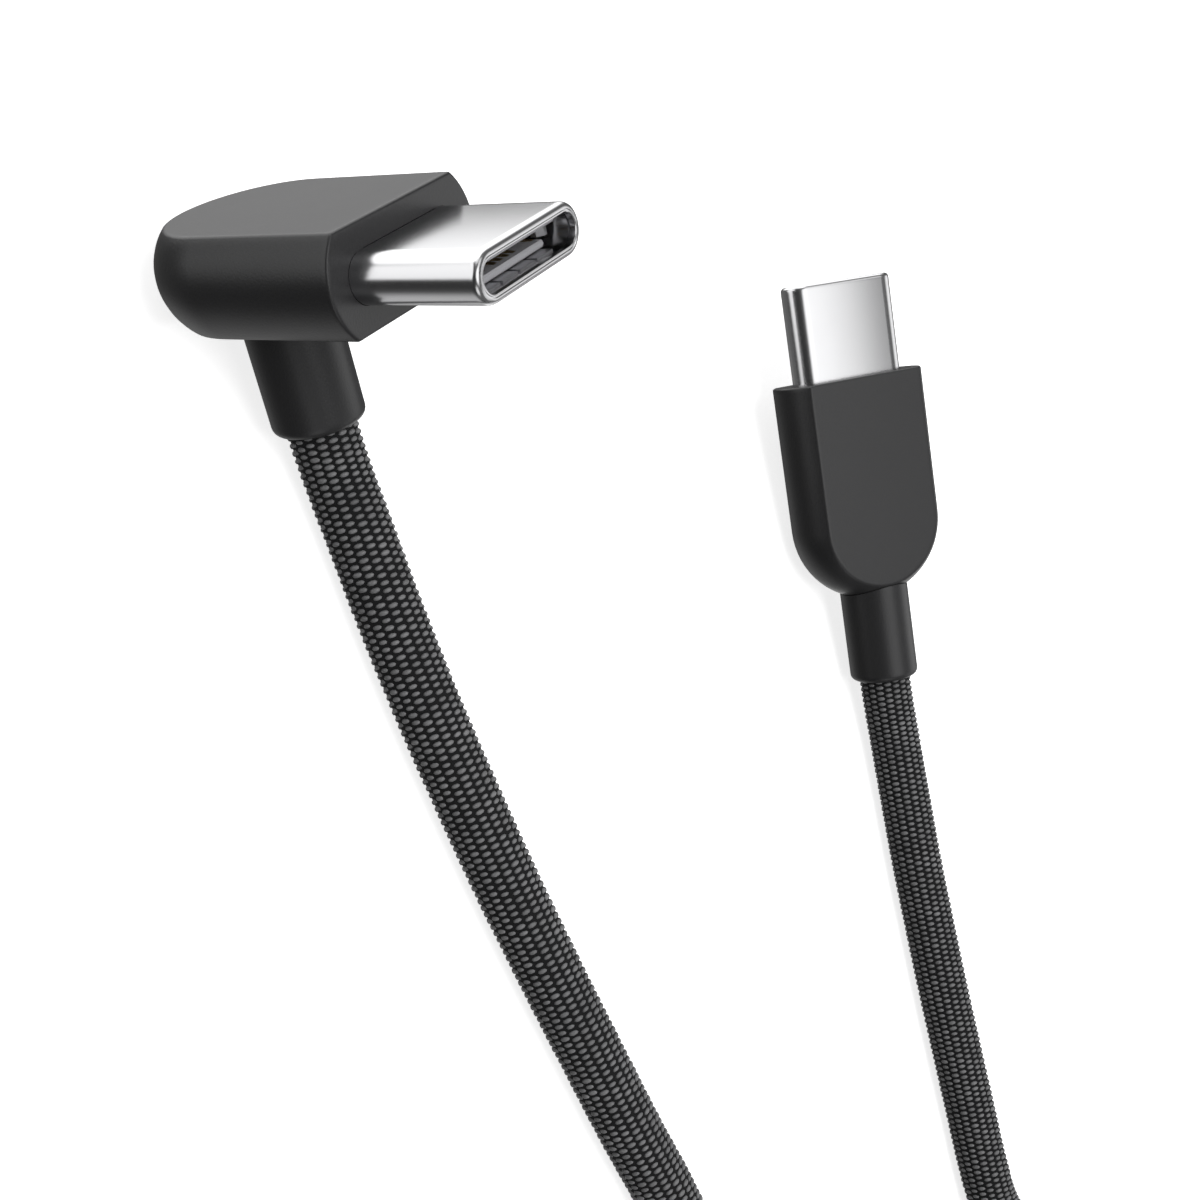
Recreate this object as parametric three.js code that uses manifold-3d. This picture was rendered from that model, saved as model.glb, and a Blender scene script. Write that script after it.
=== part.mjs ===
// A braided charging cable, about 1 m long: a right-angle plug, a cord with a tied coil, and a straight plug.
// Millimetres, +Z up. The cable lies on the plane z = 0. The origin is the bottom centre of the box round
// the two plugs, and the cord runs from them towards +X. The angled plug stands on its round heel, and the
// straight plug leans on the edge of its housing.
//
// Each plug is built in its own frame: x across the flat housing, y through its thickness, and z along the
// mating direction, with the housing's front face at z = 0.
import * as THREE from "three";
import { mergeVertices } from "three/addons/utils/BufferGeometryUtils.js";
import Module from "manifold-3d";

const wasm = await Module();
wasm.setup();

// ---- Driving dimensions ----
const GAP = 0.1; // between pieces that fit together
const CORD_DIAMETER = 3.6;
const CORD_SIDES = 8;
const CORD_STEP = 2 * CORD_DIAMETER;

const SHELL = { width: 8.25, height: 2.4, wall: 0.25, front: 6.65, rear: -4 };
const CARRIER = { front: 6.2, rear: -3.2, slotHalf: 0.4, slotFloor: 1.2 };
const CONTACT = { width: 0.26, thick: 0.12, pitch: 0.5, tip: 5.2, tail: -4.6, bump: 4.2, barHalf: 2.9 };
const UPPER_PINS = [-5.5, -2.5, -1.5, -0.5, 0.5, 2.5, 5.5]; // places across the plug, in pitches
const LOWER_PINS = [-5.5, -2.5, 1.5, 2.5, 5.5];
const LATCH = { inner: 3.3, outer: 3.5, hook: 3.05, root: 0.5, tip: 5.2, half: 0.35 };
const GROUND_SPRING = { half: 2.8, rear: 3.5, front: 5.8, bottom: 0.79, top: 0.89, fingers: 4, slit: 0.2 };

const HOUSING = { flatHalf: 4.4, thickness: 4.8, bulge: 1.03, frontWall: 0.8 };
const CAVITY = { half: 4.45, thickness: 3.5 };
const BOARD = { half: 3.3, thickness: 0.6, front: -3.4 };
const CAN = { half: 4.25, thickness: 3.3, wall: 0.15, front: -4.2 };
const CORE = { radius: 1.15 };
const FERRULE = { inner: 1.2, outer: 1.45 };
const RELIEF = { radius: 2.375, bore: 1.95, rim: 0.35, neckRadius: 1.45, neckBore: 1.2 };
const WIRE = { radius: 0.27, startPitch: 0.6, padPitch: 1.1 };

// Straight length of each housing, from its front face to the centre of its round end.
const STRAIGHT_LENGTH = 10.1;
const ANGLED_LENGTH = 8;
const STRAIGHT_RELIEF = 5.9; // how far each strain relief stands out of its housing
const ANGLED_RELIEF = 6.1;

// Where each plug lies: the centre of its front face, then heading, dip and roll in degrees. Heading turns
// the cord's exit away from +X, dip lowers it towards the table, and roll tips the plug about the exit.
const ANGLED_PLACE = { at: [-5.88, -22.75, 12.88], heading: 29.6, dip: 18.5, roll: -4.4 };
const STRAIGHT_PLACE = { at: [-7.04, 22.08, 5.59], heading: 13.7, dip: 8.3, roll: 25.7 };

// The cord's two uncoiled stretches, from inside each strain relief to the coil.
const ANGLED_ROUTE = [
  [-4.8, -22.84, 4.17],
  [-2.8, -21.7, 3.4],
  [-0.8, -20.56, 2.64],
  [1.4, -19.45, 2.08],
  [4.4, -18.2, 1.86],
  [9, -16.5, 1.8],
  [13.8, -14.6, 1.8],
  [18.6, -12.5, 1.8],
  [23.6, -10.2, 1.8],
  [28.8, -7.6, 1.8],
  [34.2, -4.8, 1.8],
  [38, -2.8, 1.8],
  [41.9, -0.6, 1.8],
  [46.2, 1.4, 1.8],
  [50.5, 2.3, 1.8],
  [54.8, 2.1, 1.8],
  [58.3, 1.2, 1.8],
];
const STRAIGHT_ROUTE = [
  [9.14, 26.03, 3.16],
  [11.35, 26.57, 2.83],
  [13.56, 27.11, 2.5],
  [16, 27.7, 2.2],
  [18.2, 28.2, 2.02],
  [22.6, 28.85, 1.88],
  [27, 29.4, 1.83],
  [31.4, 30.1, 1.8],
  [35.8, 30.8, 1.8],
  [40.2, 31.6, 1.8],
  [44.65, 32.45, 1.8],
  [49.1, 33.3, 1.8],
  [52.4, 34.1, 1.95],
  [55.4, 35.3, 2.9],
];
const COIL = { x: 80, y: 20, inner: 9.1, outer: 26.5, height: 7.3 };
const TIE = { width: 9, thickness: 0.8, gap: 0.3, room: 0.9 }; // room is for the turns that it lifts

// ---- Materials ----
const material = (color, roughness, metalness) => new THREE.MeshStandardMaterial({ color, roughness, metalness });
const STEEL = material(0xd2d3d6, 0.22, 1);
const SPRING_STEEL = material(0xb4b6ba, 0.35, 1);
const GOLD = material(0xd9b25a, 0.3, 1);
const CARRIER_PLASTIC = material(0x6c6d70, 0.5, 0);
const BLACK_PLASTIC = material(0x2b2b2d, 0.5, 0);
const MOULD_PLASTIC = material(0xd8d6ce, 0.6, 0);
const BOARD_GREEN = material(0x1f6b45, 0.5, 0);
const CORE_GREY = material(0x8a8a8c, 0.7, 0);
const BRAID = material(0x2e2e30, 0.85, 0);
const STRAP = material(0x1c1c1e, 0.9, 0);
const WIRE_COLOURS = { red: 0xb3261e, black: 0x1a1a1a, white: 0xe6e6e2, green: 0x2f8f4e, blue: 0x2b5fb0 };

// ---- Shape helpers ----
const toSolid = (geometry) => {
  const bare = geometry.clone();
  bare.deleteAttribute("normal");
  bare.deleteAttribute("uv");
  const merged = mergeVertices(bare, 1e-5);
  const vertProperties = merged.attributes.position.array;
  const triVerts = new Uint32Array(merged.index.array);
  return new wasm.Manifold(new wasm.Mesh({ numProp: 3, vertProperties, triVerts }));
};

const toGeometry = (solid) => {
  const { vertProperties, triVerts } = solid.getMesh();
  const geometry = new THREE.BufferGeometry();
  geometry.setAttribute("position", new THREE.BufferAttribute(vertProperties, 3));
  geometry.setIndex(new THREE.BufferAttribute(triVerts, 1));
  return geometry.toNonIndexed();
};

const cut = (body, ...tools) => toGeometry(tools.reduce((left, tool) => left.subtract(toSolid(tool)), toSolid(body)));
const join = (body, ...others) => toGeometry(others.reduce((left, other) => left.add(toSolid(other)), toSolid(body)));
const common = (body, other) => toGeometry(toSolid(body).intersect(toSolid(other)));

const box = ([x0, x1], [y0, y1], [z0, z1]) =>
  new THREE.BoxGeometry(x1 - x0, y1 - y0, z1 - z0).translate((x0 + x1) / 2, (y0 + y1) / 2, (z0 + z1) / 2);

const extrude = (shape, z0, z1, curveSegments = 8) =>
  new THREE.ExtrudeGeometry(shape, { depth: z1 - z0, bevelEnabled: false, curveSegments }).translate(0, 0, z0);

// A plate with its outline in the x-z plane, centred on y = 0.
const plateXZ = (points, half) => {
  const flat = extrude(new THREE.Shape(points.map(([x, z]) => new THREE.Vector2(x, z))), -half, half);
  const turned = new THREE.Matrix4();
  turned.makeBasis(new THREE.Vector3(1, 0, 0), new THREE.Vector3(0, 0, 1), new THREE.Vector3(0, -1, 0));
  return flat.applyMatrix4(turned);
};

// A strip with its outline in the z-y plane, centred on x.
const stripZY = (points, x, half) => {
  const flat = extrude(new THREE.Shape(points.map(([z, y]) => new THREE.Vector2(z, y))), -half, half);
  const turned = new THREE.Matrix4();
  turned.makeBasis(new THREE.Vector3(0, 0, 1), new THREE.Vector3(0, 1, 0), new THREE.Vector3(-1, 0, 0));
  return flat.applyMatrix4(turned).translate(x, 0, 0);
};

// A round piece about the y axis, from its outline as radius and height.
const turn = (outline, segments = 32) =>
  new THREE.LatheGeometry(outline.map(([r, y]) => new THREE.Vector2(r, y)), segments);

const rod = (radius, y0, y1, segments = 32) => turn([[0, y0], [radius, y0], [radius, y1], [0, y1]], segments);
const ring = (inner, outer, y0, y1, segments = 32) =>
  turn([[inner, y0], [outer, y0], [outer, y1], [inner, y1], [inner, y0]], segments);

// A slot-shaped outline: straight sides and full round ends.
const stadium = (width, height) => {
  const r = height / 2;
  const shape = new THREE.Shape();
  shape.moveTo(r - width / 2, -r);
  shape.lineTo(width / 2 - r, -r);
  shape.absarc(width / 2 - r, 0, r, -Math.PI / 2, Math.PI / 2, false);
  shape.lineTo(r - width / 2, r);
  shape.absarc(r - width / 2, 0, r, Math.PI / 2, (3 * Math.PI) / 2, false);
  return shape;
};

const mirrorY = (geometry) => geometry.rotateZ(Math.PI);

// A round tube along a smooth curve.
const tube = (curve, radius, steps, sides) => {
  const corners = Array.from({ length: sides }, (_, i) => {
    const angle = (2 * Math.PI * i) / sides;
    return new THREE.Vector2(radius * Math.cos(angle), radius * Math.sin(angle));
  });
  return new THREE.ExtrudeGeometry(new THREE.Shape(corners), { steps, bevelEnabled: false, extrudePath: curve });
};

const curveThrough = (points) => new THREE.CatmullRomCurve3(points.map((p) => new THREE.Vector3(...p)));

// ---- Connector: the pieces that both plugs share ----
const makeShell = () => {
  const { width, height, wall, front, rear } = SHELL;
  const outer = extrude(stadium(width, height), rear, front);
  return cut(outer, extrude(stadium(width - 2 * wall, height - 2 * wall), rear - 1, front + 1));
};

// Two lips with the tongue's slot between them, joined by a block at the rear.
const makeCarrier = () => {
  const { front, rear, slotHalf, slotFloor } = CARRIER;
  const inset = 2 * (SHELL.wall + GAP / 2);
  const body = extrude(stadium(SHELL.width - inset, SHELL.height - inset), rear, front);
  const slot = box([-5, 5], [-slotHalf, slotHalf], [slotFloor, front + 1]);
  const latchChannels = [-1, 1].map((side) =>
    box([Math.min(3.1 * side, 5 * side), Math.max(3.1 * side, 5 * side)], [-slotHalf, slotHalf], [0.3, slotFloor + 0.5]),
  );
  const contactPockets = [
    box([-3, 3], [0.36, 0.62], [rear - 1, CONTACT.tip + 0.2]),
    box([-3, 3], [-0.62, -0.36], [rear - 1, CONTACT.tip + 0.2]),
  ];
  const springPockets = [
    box([-2.9, 2.9], [0.74, 1.5], [3.4, 5.9]),
    box([-2.9, 2.9], [-1.5, -0.74], [3.4, 5.9]),
  ];
  return cut(body, slot, ...latchChannels, ...contactPockets, ...springPockets);
};

// Spring contacts on the cross strip that their plastic holds. Each beam bows into the slot near its tip.
const makeContacts = (pins) => {
  const { width, thick, pitch, tip, tail, bump, barHalf } = CONTACT;
  const rest = 0.44;
  const bow = 0.12;
  const outline = [
    [tail, rest],
    [1.6, rest],
    [bump, rest - bow],
    [tip, rest],
    [tip, rest + thick],
    [bump, rest - bow + thick],
    [1.6, rest + thick],
    [tail, rest + thick],
  ];
  const strip = box([-barHalf, barHalf], [rest, rest + thick], [-2.6, -2.1]);
  return join(strip, ...pins.map((pin) => stripZY(outline, pin * pitch, width / 2)));
};

const makeLatch = () => {
  const { inner, outer, hook, root, tip, half } = LATCH;
  const outline = [
    [inner, root],
    [outer, root],
    [outer, tip],
    [inner, tip],
    [hook, tip - 0.3],
    [hook, tip - 0.6],
    [inner, tip - 0.8],
  ];
  return plateXZ(outline, half);
};

const makeGroundSpring = () => {
  const { half, rear, front, bottom, top, fingers, slit } = GROUND_SPRING;
  const plate = box([-half, half], [bottom, top], [rear, front]);
  const slits = Array.from({ length: fingers - 1 }, (_, i) => {
    const x = -half + ((i + 1) * 2 * half) / fingers;
    return box([x - slit / 2, x + slit / 2], [bottom - 1, top + 1], [rear + 0.4, front + 1]);
  });
  return cut(plate, ...slits);
};

// ---- Housing ----
// A flat bar with arched sides, closed by a round end with the same arched edge.
const housingBody = (length, grow = 0) => {
  const half = HOUSING.flatHalf + grow;
  const y = HOUSING.thickness / 2 + grow;
  const radius = (y * y + HOUSING.bulge ** 2) / (2 * HOUSING.bulge);
  const centre = half + HOUSING.bulge - radius;
  const reach = Math.asin(y / radius);
  const section = new THREE.Shape();
  section.moveTo(-half, -y);
  section.lineTo(half, -y);
  section.absarc(centre, 0, radius, -reach, reach, false);
  section.lineTo(-half, y);
  section.absarc(-centre, 0, radius, Math.PI - reach, Math.PI + reach, false);
  const arcSteps = 8;
  const edge = Array.from({ length: arcSteps + 1 }, (_, i) => {
    const angle = -reach + (2 * reach * i) / arcSteps;
    return [centre + radius * Math.cos(angle), radius * Math.sin(angle)];
  });
  const end = turn([[0, -y], ...edge, [0, y]], 40).translate(0, 0, -length);
  return join(extrude(section, -length, grow, arcSteps), end);
};

const makeHousing = (length, exit) => {
  const { half, thickness } = CAVITY;
  const room = box([-half, half], [-thickness / 2, thickness / 2], [-length, -HOUSING.frontWall]);
  const roundRoom = rod(half, -thickness / 2, thickness / 2).translate(0, 0, -length);
  const mouth = extrude(stadium(SHELL.width + 2 * GAP, SHELL.height + 2 * GAP), -2, 1);
  return cut(housingBody(length), room, roundRoom, mouth, exit);
};

// ---- Pieces behind the connector ----
const makeBoard = (rear) =>
  box([-BOARD.half, BOARD.half], [-BOARD.thickness / 2, BOARD.thickness / 2], [rear, BOARD.front]);

const makeCan = (rear) => {
  const { half, thickness, wall, front } = CAN;
  const y = thickness / 2;
  const hollow = box([wall - half, half - wall], [wall - y, y - wall], [rear - 1, front + 1]);
  return cut(box([-half, half], [-y, y], [rear, front]), hollow);
};

// The block that fills the round end of the cavity and grips the cord's end.
const makeMould = (length, front, bore, ...notches) => {
  const half = CAVITY.half - GAP;
  const y = CAVITY.thickness / 2 - GAP;
  const disc = rod(half, -y, y).translate(0, 0, -length);
  return cut(common(disc, box([-9, 9], [-9, 9], [-99, front])), bore, ...notches);
};

// A sleeve whose narrow neck reaches into the housing. It is made along +y, with the housing below y = 0.
const makeRelief = (length, neck, seat) => {
  const { radius, bore, rim, neckRadius, neckBore } = RELIEF;
  const sleeve = turn([[0, -2], [radius, -2], [radius, length - rim], [radius - rim, length], [0, length]]);
  const seated = cut(sleeve, seat);
  const whole = join(seated, rod(neckRadius, -neck, 0.9));
  return cut(whole, rod(bore, 0.9, length + 1), rod(neckBore, -neck - 1, 1));
};

const makeWires = (path) =>
  Object.keys(WIRE_COLOURS).map((colour, i) => ({
    colour,
    geometry: tube(curveThrough(path(i - 2)), WIRE.radius, 8, 6),
  }));

// ---- Plugs ----
const mesh = (name, geometry, finish) => {
  const piece = new THREE.Mesh(geometry, finish);
  piece.name = name;
  return piece;
};

const connector = (plug) => [
  mesh(`${plug}_shell`, makeShell(), STEEL),
  mesh(`${plug}_contact_carrier`, makeCarrier(), CARRIER_PLASTIC),
  mesh(`${plug}_upper_contacts`, makeContacts(UPPER_PINS), GOLD),
  mesh(`${plug}_lower_contacts`, mirrorY(makeContacts(LOWER_PINS)), GOLD),
  mesh(`${plug}_latch_a`, makeLatch(), SPRING_STEEL),
  mesh(`${plug}_latch_b`, mirrorY(makeLatch()), SPRING_STEEL),
  mesh(`${plug}_upper_ground_spring`, makeGroundSpring(), SPRING_STEEL),
  mesh(`${plug}_lower_ground_spring`, mirrorY(makeGroundSpring()), SPRING_STEEL),
];

// The cord leaves the round end of the housing, along -z.
const straightPlug = () => {
  const end = -(STRAIGHT_LENGTH + HOUSING.flatHalf + HOUSING.bulge);
  const alongCord = (geometry, z) => geometry.rotateX(-Math.PI / 2).translate(0, 0, z);
  const seat = housingBody(STRAIGHT_LENGTH, GAP).translate(0, 0, -end).rotateX(Math.PI / 2);
  const relief = makeRelief(STRAIGHT_RELIEF, 1.9, seat);
  const coreFront = -10.9;
  const wirePath = (place) => [
    [place * WIRE.startPitch, 0, coreFront + 0.2],
    [place * WIRE.startPitch, 0.1, -10.1],
    [place * WIRE.padPitch, 0.6, -9.2],
    [place * WIRE.padPitch, 0.64, -7.8],
  ];
  return [
    ...connector("straight"),
    mesh("straight_paddle_board", makeBoard(-8.6), BOARD_GREEN),
    mesh("straight_shield_can", makeCan(-8.9), STEEL),
    mesh("straight_inner_mould", makeMould(STRAIGHT_LENGTH, -10.6, alongCord(rod(1.5, 0, 9), -10)), MOULD_PLASTIC),
    mesh("straight_crimp_ferrule", alongCord(ring(FERRULE.inner, FERRULE.outer, 0, 2.1), -11.2), STEEL),
    mesh("straight_cord_core", alongCord(rod(CORE.radius, 0, 5.4, 16), coreFront), CORE_GREY),
    mesh("straight_strain_relief", alongCord(relief, end), BLACK_PLASTIC),
    mesh("straight_housing", makeHousing(STRAIGHT_LENGTH, alongCord(rod(1.55, 0, 9), -10)), BLACK_PLASTIC),
    ...makeWires(wirePath).map((wire) =>
      mesh(`straight_wire_${wire.colour}`, wire.geometry, material(WIRE_COLOURS[wire.colour], 0.5, 0)),
    ),
  ];
};

// The cord leaves a wide face of the housing, along +y, from the centre of the round end.
const angledPlug = () => {
  const face = HOUSING.thickness / 2;
  const atExit = (geometry, y) => geometry.translate(0, y, -ANGLED_LENGTH);
  const seat = box([-9, 9], [-9, GAP], [-9, 9]);
  const relief = makeRelief(ANGLED_RELIEF, 1.4, seat);
  const coreEnd = -0.4;
  const notch = box([-3.2, 3.2], [-9, -0.45], [-8.7, 0]);
  const wirePath = (place) => [
    [place * WIRE.startPitch, coreEnd - 0.2, -ANGLED_LENGTH],
    [place * WIRE.startPitch, coreEnd - 0.6, -ANGLED_LENGTH + 0.25],
    [place * WIRE.padPitch, coreEnd - 0.55, -6.7],
    [place * WIRE.padPitch, -0.66, -5.8],
    [place * WIRE.padPitch, -0.64, -5.2],
  ];
  return [
    ...connector("angled"),
    mesh("angled_paddle_board", makeBoard(-6.2), BOARD_GREEN),
    mesh("angled_shield_can", makeCan(-6.4), STEEL),
    mesh("angled_inner_mould", makeMould(ANGLED_LENGTH, -6.7, atExit(rod(1.5, -9, 9), 0), notch), MOULD_PLASTIC),
    mesh("angled_crimp_ferrule", atExit(ring(FERRULE.inner, FERRULE.outer, 0, 1), -0.2), STEEL),
    mesh("angled_cord_core", atExit(rod(CORE.radius, 0, 3.4, 16), coreEnd), CORE_GREY),
    mesh("angled_strain_relief", atExit(relief, face), BLACK_PLASTIC),
    mesh("angled_housing", makeHousing(ANGLED_LENGTH, atExit(rod(1.55, 0, 9), 0)), BLACK_PLASTIC),
    ...makeWires(wirePath).map((wire) =>
      mesh(`angled_wire_${wire.colour}`, wire.geometry, material(WIRE_COLOURS[wire.colour], 0.5, 0)),
    ),
  ];
};

// Turns a plug's own frame to the frame of its place, where the cord leaves along +X.
const straightAxes = new THREE.Matrix4().makeBasis(
  new THREE.Vector3(0, -1, 0),
  new THREE.Vector3(0, 0, 1),
  new THREE.Vector3(-1, 0, 0),
);
const angledAxes = new THREE.Matrix4().makeBasis(
  new THREE.Vector3(0, -1, 0),
  new THREE.Vector3(1, 0, 0),
  new THREE.Vector3(0, 0, 1),
);

const laid = (pieces, axes, place) => {
  const plug = new THREE.Group();
  plug.add(...pieces);
  plug.applyMatrix4(axes);
  const group = new THREE.Group();
  group.add(plug);
  group.position.set(...place.at);
  const turns = [place.roll, place.dip, place.heading].map(THREE.MathUtils.degToRad);
  group.rotation.set(...turns, "ZYX");
  return group;
};

// ---- Cord ----
const makeCord = (route) => {
  const curve = curveThrough(route);
  const steps = Math.ceil(curve.getLength() / CORD_STEP) + 8;
  return tube(curve, CORD_DIAMETER / 2, steps, CORD_SIDES);
};

// The outer shape of the coil's turns, with a groove under it for the tie.
const makeCoil = () => {
  const { x, y, inner, outer, height } = COIL;
  const turns = turn([[inner, 0], [outer, 0], [outer, height], [inner, height], [inner, 0]], 48);
  const half = TIE.width / 2 + TIE.gap;
  const groove = box([inner - 5, outer + 5], [-half, half], [-1, TIE.thickness + TIE.gap]);
  return cut(turns.rotateX(Math.PI / 2), groove).translate(x, y, 0);
};

// A flat strap round the coil's bundle, on the side away from the plugs.
const makeTie = () => {
  const { width, thickness, gap, room } = TIE;
  const nearest = Math.sqrt(COIL.inner ** 2 - (width / 2) ** 2);
  const [x0, x1] = [nearest - gap, COIL.outer + gap];
  const [z0, z1] = [thickness, COIL.height + gap + room];
  const outer = box([x0 - thickness, x1 + thickness], [-width / 2, width / 2], [z0 - thickness, z1 + thickness]);
  return cut(outer, box([x0, x1], [-9, 9], [z0, z1])).translate(COIL.x, COIL.y, 0);
};

const cable = new THREE.Group();
cable.add(laid(angledPlug(), angledAxes, ANGLED_PLACE));
cable.add(laid(straightPlug(), straightAxes, STRAIGHT_PLACE));
cable.add(mesh("cord_from_angled_plug", makeCord(ANGLED_ROUTE), BRAID));
cable.add(mesh("cord_from_straight_plug", makeCord(STRAIGHT_ROUTE), BRAID));
cable.add(mesh("cord_coil", makeCoil(), BRAID));
cable.add(mesh("coil_tie", makeTie(), STRAP));

export default cable;
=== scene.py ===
"""A braided charging cable with a right-angle plug and a straight plug, lying on a pale table."""

import math

import bmesh
import bpy
from mathutils import Matrix, Vector


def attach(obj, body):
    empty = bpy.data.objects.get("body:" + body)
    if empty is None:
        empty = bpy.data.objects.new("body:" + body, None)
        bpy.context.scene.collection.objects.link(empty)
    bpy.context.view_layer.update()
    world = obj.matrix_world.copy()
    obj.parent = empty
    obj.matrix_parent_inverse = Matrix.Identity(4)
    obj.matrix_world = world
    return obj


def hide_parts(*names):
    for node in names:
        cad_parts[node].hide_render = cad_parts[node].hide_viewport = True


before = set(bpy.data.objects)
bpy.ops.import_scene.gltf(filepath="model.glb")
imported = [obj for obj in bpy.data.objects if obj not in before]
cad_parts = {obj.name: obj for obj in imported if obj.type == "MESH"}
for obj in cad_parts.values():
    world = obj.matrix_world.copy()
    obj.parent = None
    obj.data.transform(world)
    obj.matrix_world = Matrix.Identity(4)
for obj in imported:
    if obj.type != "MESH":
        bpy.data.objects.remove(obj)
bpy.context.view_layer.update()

MM = 0.001  # sizes are in millimetres unless a comment says metres, and each finished mesh is in metres
BODY = "cable"

# ---- The plugs' places, as in the part: centre of the front face, then heading, dip and roll ----
ANGLED_PLACE = ((-5.88, -22.75, 12.88), 29.6, 18.5, -4.4)
STRAIGHT_PLACE = ((-7.04, 22.08, 5.59), 13.7, 8.3, 25.7)
ANGLED_AXES = Matrix(((0, 1, 0), (-1, 0, 0), (0, 0, 1))).to_4x4()
STRAIGHT_AXES = Matrix(((0, 0, -1), (-1, 0, 0), (0, 1, 0))).to_4x4()

# ---- Housings: flat, with bulged sides and a round end, and hollow behind the front wall ----
THICKNESS = 4.8
FLAT_HALF = 4.4
BULGE = 1.03
EDGE_ROUND = 0.3
FRONT_ROUND = 0.15
FRONT_WALL = 0.8
ROOM_HALF_HEIGHT, ROOM_FLAT_HALF, ROOM_BULGE, ROOM_ROUND = 1.75, 3.95, 0.5, 0.12
ROOM_STEP = 1.2  # how far behind the front the room has its full section
SHELL_GAP = 0.03
ANGLED_LENGTH, STRAIGHT_LENGTH = 8.0, 10.1
WIRE_HOLE_RADIUS = 1.55
SEAT_GAP = 0.04

# ---- Shells, and the carriers in them ----
SHELL_WIDTH, SHELL_HEIGHT, SHELL_WALL = 8.25, 2.4, 0.25
SHELL_BACK, SHELL_FRONT = -3.9, 6.65
SHELL_ROLL = 0.3
# The mouth's rolled edge, by how far inward and how far below the front each point is.
LIP = (
    (0.33, 0.07),
    (0.35, 0.07),
    (0.37, 0.01),
    (0.42, 0),
    (0.45, 0.03),
    (0.46, 0.1),
    (0.46, 0.3),
    (0.32, 0.5),
)
CARRIER_MIDDLE, CARRIER_RADIUS = 2.9, 0.94
CARRIER_BACK, CARRIER_FRONT = -3.2, 1.2
CARRIER_LIPS = ((-0.74, -0.4, 6.1), (0.4, 0.74, 5.3))  # low edge, high edge and reach of each
CARRIER_LIP_HALF, CARRIER_LIP_ROOT, CARRIER_LIP_EDGE = 3.0, 0.8, 0.08

# ---- Strain reliefs ----
SLEEVE_RADIUS = 2.375
SLEEVE_RIM = 0.42
SLEEVE_DEPTH = 2.0
SLEEVE_BORE_GAP = 0.06
ANGLED_SLEEVE, STRAIGHT_SLEEVE = 6.1, 5.9

# ---- Cord and its yarn ----
CORD_DIAMETER = 3.6
CORD_SIDES = 36
GRAIN_PITCH = 0.4
GRAIN_COLUMNS = 18
GRAIN_ALONG, GRAIN_ACROSS, GRAIN_HEIGHT = 0.14, 0.27, 0.12
GRAIN_DEPTH = 0.11
GRAIN_LEAST, GRAIN_MOST = 0.88, 1.08  # each grain's share of the full size
GRAIN_SEED = 4
BRAID_START = 0.4  # inside the strain relief
BARE_DROP, BARE_FADE = 0.1, 3.0  # how much lower the tube is under the grains, and over what length

# ---- Cord route: the two uncoiled stretches repeat the part's, then run on to the coil ----
ANGLED_ROUTE = [
    (-2.8, -21.7, 3.4),
    (-0.8, -20.56, 2.64),
    (1.4, -19.45, 2.08),
    (4.4, -18.2, 1.86),
    (9, -16.5, 1.8),
    (13.8, -14.6, 1.8),
    (18.6, -12.5, 1.8),
    (23.6, -10.2, 1.8),
    (28.8, -7.6, 1.8),
    (34.2, -4.8, 1.8),
    (38, -2.8, 1.8),
    (41.9, -0.6, 1.8),
    (46.2, 1.4, 1.8),
    (50.5, 2.3, 1.8),
    (54.8, 2.1, 1.8),
    (59, 1, 1.8),
    (64, -1, 1.8),
    (69, -3, 1.8),
    (74.5, -4.5, 1.8),
]
STRAIGHT_ROUTE = [
    (11.35, 26.57, 2.83),
    (13.56, 27.11, 2.5),
    (16, 27.7, 2.2),
    (18.2, 28.2, 2.02),
    (22.6, 28.85, 1.88),
    (27, 29.4, 1.83),
    (31.4, 30.1, 1.8),
    (35.8, 30.8, 1.8),
    (40.2, 31.6, 1.8),
    (44.65, 32.45, 1.8),
    (49.1, 33.3, 1.8),
    (52.4, 34.1, 1.95),
    (55.4, 35.3, 2.9),
    (58.2, 36.7, 4.2),
    (61, 38.2, 4.95),
    (64.4, 40, 5.35),
]
COIL_CENTRE = (80.0, 20.0)
COIL_PITCH = 3.62
COIL_OUTER = 24.66  # radius of the outermost turn, at the cord's middle
COIL_ENTRY = math.radians(-90)
COIL_EXIT = math.radians(116 + 7 * 360)
COIL_CLIMB = math.radians(120)
LOW_LAYER, HIGH_LAYER = 1.8, 5.42
LIFT_START, LIFT_FULL = 9.5, 5.0  # distances from the tie's middle, where the turns rise over its strap
TIE_WIDTH, TIE_THICKNESS, TIE_LIFT = 9.0, 0.8, 0.85
TIE_INNER, TIE_CORNER, TIE_EDGE = 7.6, 1.6, 0.22
TIE_SLACK = 0.35
TIE_BOTTOM, TIE_CLEARANCE = 0.42, 0.5  # the strap's middle over the table, and over the top turns
LAP_WIDTH, LAP_THICKNESS = 0.98, 0.9  # the lapped end's shares of the strap's own


# ---- Node and mesh helpers ----
def finish(name, color, roughness, metallic=0.0):
    """A new material and its shader."""
    material = bpy.data.materials.new(name)
    material.use_nodes = True
    shader = material.node_tree.nodes["Principled BSDF"]
    shader.inputs["Base Color"].default_value = (*color, 1)
    shader.inputs["Roughness"].default_value = roughness
    shader.inputs["Metallic"].default_value = metallic
    return material, shader


def node(material, kind, **sockets):
    """A node with its inputs set by name, to a value or another node's output. Lower case is a setting."""
    made = material.node_tree.nodes.new(kind)
    for name, value in sockets.items():
        if name.islower():
            setattr(made, name, value)
        elif isinstance(value, bpy.types.NodeSocket):
            material.node_tree.links.new(value, made.inputs[name])
        else:
            made.inputs[name].default_value = value
    return made


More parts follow.
